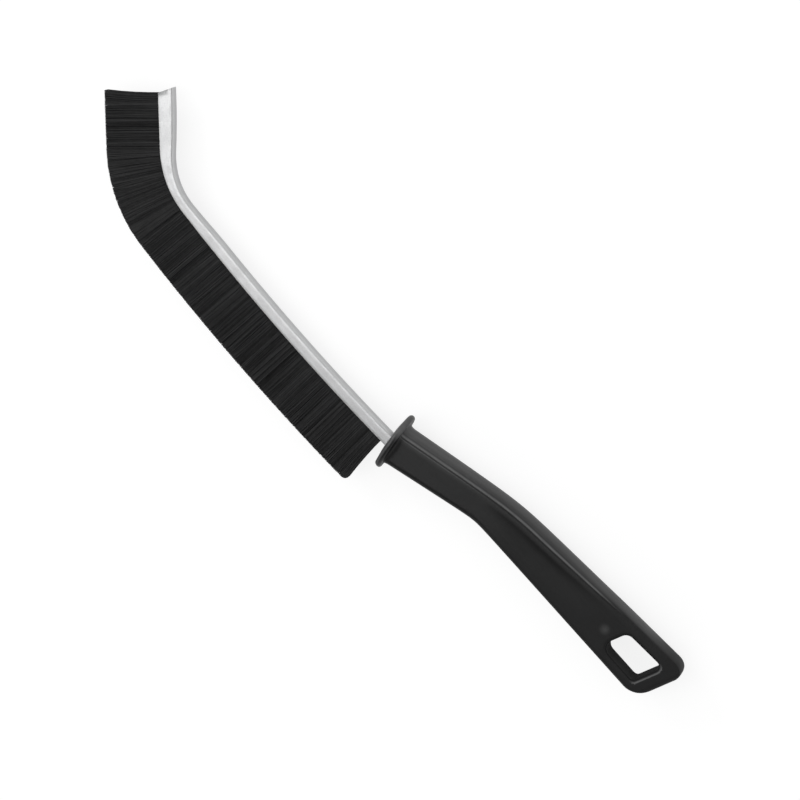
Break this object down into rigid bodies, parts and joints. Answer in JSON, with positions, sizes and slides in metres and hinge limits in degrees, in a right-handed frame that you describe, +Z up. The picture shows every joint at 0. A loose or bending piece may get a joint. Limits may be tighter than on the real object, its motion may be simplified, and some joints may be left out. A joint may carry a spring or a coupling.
{
  "type": "grout brush",
  "caption": "Narrow long-handled scrubbing brush: stiff black bristles held in a bent steel channel, on a moulded plastic handle with a finger guard and a hanging hole.",
  "frame": {"origin": "under the middle of the whole brush's bounding box, at the height of its lowest point, as it lies on its side", "axes": "+X along the brush from the handle's end towards the bent toe, +Y from the channel's back towards the bristle tips, +Z up, across the brush's thickness"},
  "size_m": [0.2858, 0.0498, 0.0199],
  "materials": {
    "black_plastic": "satin black moulded plastic",
    "galvanised_steel": "bright galvanised sheet",
    "wire_steel": "plain drawn wire",
    "black_nylon": "stiff black filaments"
  },
  "bodies": {
    "root": {"handle": "black_plastic", "brush_channel": "galvanised_steel", "core_wire": "wire_steel", "bristles_01": "black_nylon", "bristles_02": "black_nylon", "bristles_03": "black_nylon", "bristles_04": "black_nylon", "bristles_05": "black_nylon", "bristles_06": "black_nylon", "bristles_07": "black_nylon", "bristles_08": "black_nylon", "bristles_09": "black_nylon", "bristles_10": "black_nylon"}
  },
  "joints": []
}
